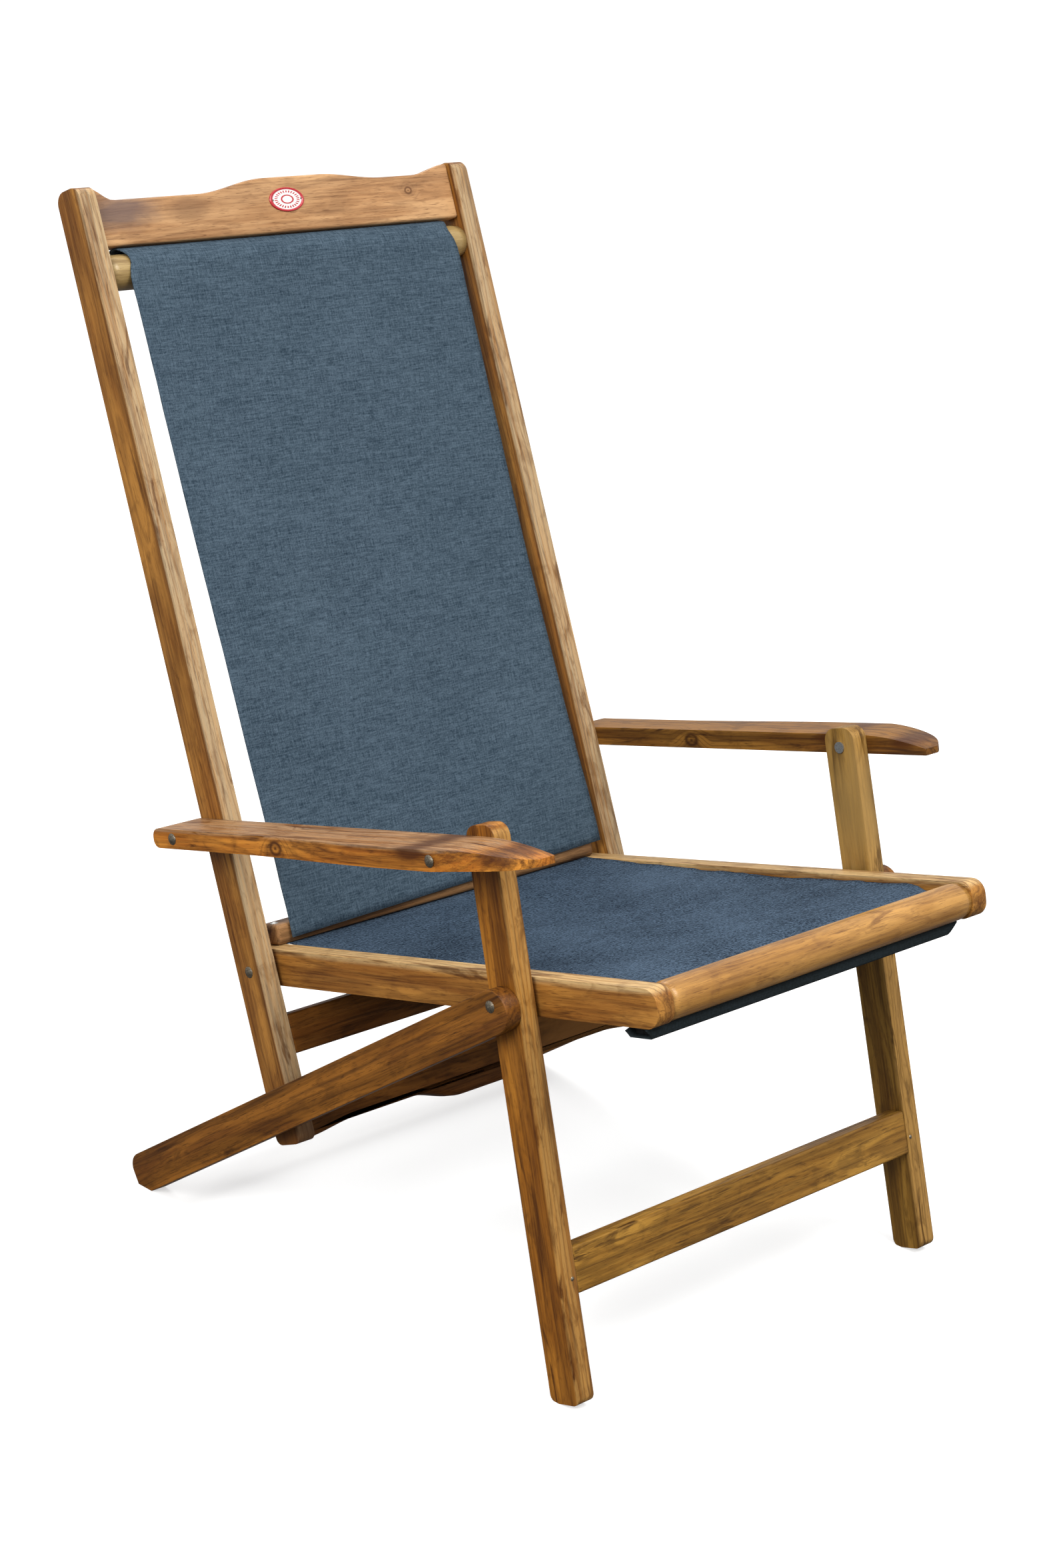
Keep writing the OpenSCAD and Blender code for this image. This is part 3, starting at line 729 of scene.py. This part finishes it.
def badge():
    """A domed oval plate with a raised rim."""
    rows, around = 10, 72
    bm = bmesh.new()
    levels = [(1.0, 0.0), (1.0, 0.0009), (0.965, 0.0014), (0.91, 0.0013), (0.87, 0.0009)]
    levels += [(0.87 * (1 - k / rows), 0.0009 + 0.0006 * (1 - (1 - k / rows) ** 2)) for k in range(1, rows)]
    turns = [2 * math.pi * k / around for k in range(around)]
    loops = [[bm.verts.new(BADGE + ACROSS * (BADGE_HALF_W * s * math.cos(a))
                           + BACK_UP * (BADGE_HALF_H * s * math.sin(a)) + BACK_FRONT * h)
              for a in turns] for s, h in levels]
    for a, b in zip(loops, loops[1:]):
        for k in range(around):
            bm.faces.new((a[k], a[(k + 1) % around], b[(k + 1) % around], b[k]))
    bm.faces.new(loops[0])
    bm.faces.new(loops[-1])
    bmesh.ops.recalc_face_normals(bm, faces=bm.faces)
    mesh = bpy.data.meshes.new("badge_oval")
    bm.to_mesh(mesh)
    bm.free()
    for polygon in mesh.polygons:
        polygon.use_smooth = True
    mesh.materials.append(badge_face())
    piece = bpy.data.objects.new("badge_oval", mesh)
    bpy.context.scene.collection.objects.link(piece)
    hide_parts("badge_plate")
    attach(piece, "back")


badge()

pewter = metal("pewter", (0.27, 0.235, 0.18), 0.28, (0.09, 0.07, 0.05))
zinc = metal("zinc", (0.50, 0.50, 0.48), 0.38, (0.28, 0.26, 0.24))
BLACK_TONE = ((0.006, 0.006, 0.006), (0.012, 0.013, 0.014), (0.020, 0.021, 0.022))
batten_wood = wood("batten", ACROSS, SEAT_UP, on_seat(0, BAR_AT, -0.023), BLACK_TONE, 33.0)
CAD_LOOKS = {
    "stile_pivot_rivets": pewter, "leg_pivot_rivets": pewter, "arm_rear_rivet_left": pewter,
    "arm_rear_rivet_right": pewter, "arm_front_bolt_left": pewter, "arm_front_bolt_right": pewter,
    "stretcher_nails": pewter, "badge_pins": pewter, "stile_pivot_washers": zinc, "leg_pivot_washers": zinc,
    "leg_top_washers": zinc, "batten_screws": zinc, "seat_bar_screws": zinc, "strut_stop_pins": zinc,
    "seat_batten": batten_wood,
}
for node, material in CAD_LOOKS.items():
    for entry in frame["nodes"][node].material_slots:
        entry.material = material


# ---------------------------------------------------------------- studio

FLOOR_HALF = 60.0
LIGHTS = (                 # name, place, size, power in watts, tone
    ("key", (0.3, -2.7, 4.0), 2.2, 138, (1.0, 0.985, 0.96)),
    ("fill", (-3.6, -0.9, 2.8), 2.0, 125, (1.0, 0.99, 0.97)),
    ("rim", (1.2, 2.6, 3.6), 2.2, 50, (1.0, 1.0, 1.0)),
)
CHAIR_MIDDLE = Vector((0, 0, 0.45))
SKY = (-0.5, 0.7, 0.16, 0.95)      # from this height of a ray to that, strength there and there


def studio():
    """A pale floor that throws no light on the chair, a sky that is brighter above, and three lamps."""
    floor_mesh = bpy.data.meshes.new("floor")
    corners = [(x * FLOOR_HALF, y * FLOOR_HALF, 0) for x, y in ((-1, -1), (1, -1), (1, 1), (-1, 1))]
    floor_mesh.from_pydata(corners, [], [(0, 1, 2, 3)])
    floor = bpy.data.objects.new("floor", floor_mesh)
    bpy.context.scene.collection.objects.link(floor)
    n = Nodes("floor_paint")
    cloudy = n.noise(n.place(), 3.0, 3.0, 0.5)
    n.link(n.mix(cloudy, (0.60, 0.60, 0.60), (0.63, 0.63, 0.63)), n.shader.inputs["Base Color"])
    n.shader.inputs["Roughness"].default_value = 0.9
    n.shader.inputs["Specular IOR Level"].default_value = 0.1
    n.shader.inputs["Emission Color"].default_value = (1.0, 1.0, 1.0, 1)
    n.shader.inputs["Emission Strength"].default_value = 0.55
    floor_mesh.materials.append(n.material)
    floor.visible_diffuse = False
    floor.visible_glossy = False
    world = bpy.data.worlds.new("studio")
    world.use_nodes = True
    tree = world.node_tree
    split = tree.nodes.new("ShaderNodeSeparateXYZ")
    sky = tree.nodes.new("ShaderNodeMapRange")
    tree.links.new(tree.nodes.new("ShaderNodeTexCoord").outputs["Generated"], split.inputs[0])
    tree.links.new(split.outputs[2], sky.inputs[0])
    for i, value in enumerate(SKY, start=1):
        sky.inputs[i].default_value = value
    tree.nodes["Background"].inputs["Color"].default_value = (1.0, 1.0, 1.0, 1)
    tree.links.new(sky.outputs[0], tree.nodes["Background"].inputs["Strength"])
    bpy.context.scene.world = world
    for name, place, size, power, tone in LIGHTS:
        light = bpy.data.lights.new(name, "AREA")
        light.size = size
        light.energy = power
        light.color = tone
        lamp = bpy.data.objects.new(name, light)
        lamp.location = place
        lamp.rotation_euler = (CHAIR_MIDDLE - Vector(place)).to_track_quat("-Z", "Y").to_euler()
        bpy.context.scene.collection.objects.link(lamp)
    bpy.context.scene.view_settings.view_transform = "Standard"


studio()

# Camera: the view of the picture. Heading is turned from +Y towards +X, all angles in degrees.
HEADING, PITCH, ROLL = 46.06, -18.48, 3.57
heading, pitch, roll = (math.radians(a) for a in (HEADING, PITCH, ROLL))
forward = Vector((math.sin(heading) * math.cos(pitch), math.cos(heading) * math.cos(pitch),
                  math.sin(pitch)))
level = Vector((math.cos(heading), -math.sin(heading), 0))
upright = level.cross(forward)
right = level * math.cos(roll) + upright * math.sin(roll)
camera_data = bpy.data.cameras.new("camera")
camera_data.lens = 72.02
camera_data.sensor_width = 36
camera = bpy.data.objects.new("camera", camera_data)
camera.matrix_world = Matrix((right, right.cross(forward), -forward)).transposed().to_4x4()
camera.location = (-2.0353, -1.9701, 1.3739)
bpy.context.scene.collection.objects.link(camera)
bpy.context.scene.camera = camera
